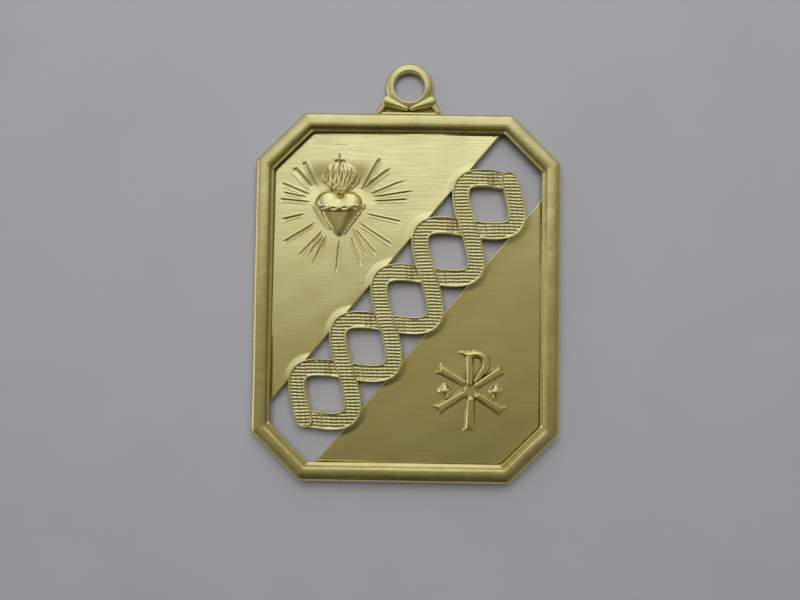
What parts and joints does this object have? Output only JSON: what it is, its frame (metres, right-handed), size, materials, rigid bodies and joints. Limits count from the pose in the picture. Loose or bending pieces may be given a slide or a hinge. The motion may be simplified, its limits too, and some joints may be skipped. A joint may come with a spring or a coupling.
{
  "type": "religious pendant medal",
  "caption": "Oblong brass medal with clipped corners, a polished border with a ring bail and a pierced, brushed plate with a raised heart, a woven band and a barred sign.",
  "frame": {"origin": "centre of the medal's box, bail included, on the surface that its flat back lies on", "axes": "+Z out of the medal's front, +Y towards the bail, +X to the right as seen from the front"},
  "size_m": [0.025, 0.0344, 0.0018],
  "materials": {
    "polished_brass": "polished, with soft marks of handling",
    "satin_brass": "brushed across, with bright raised edges"
  },
  "bodies": {
    "root": {"frame": "polished_brass", "panel": "satin_brass"}
  },
  "joints": []
}
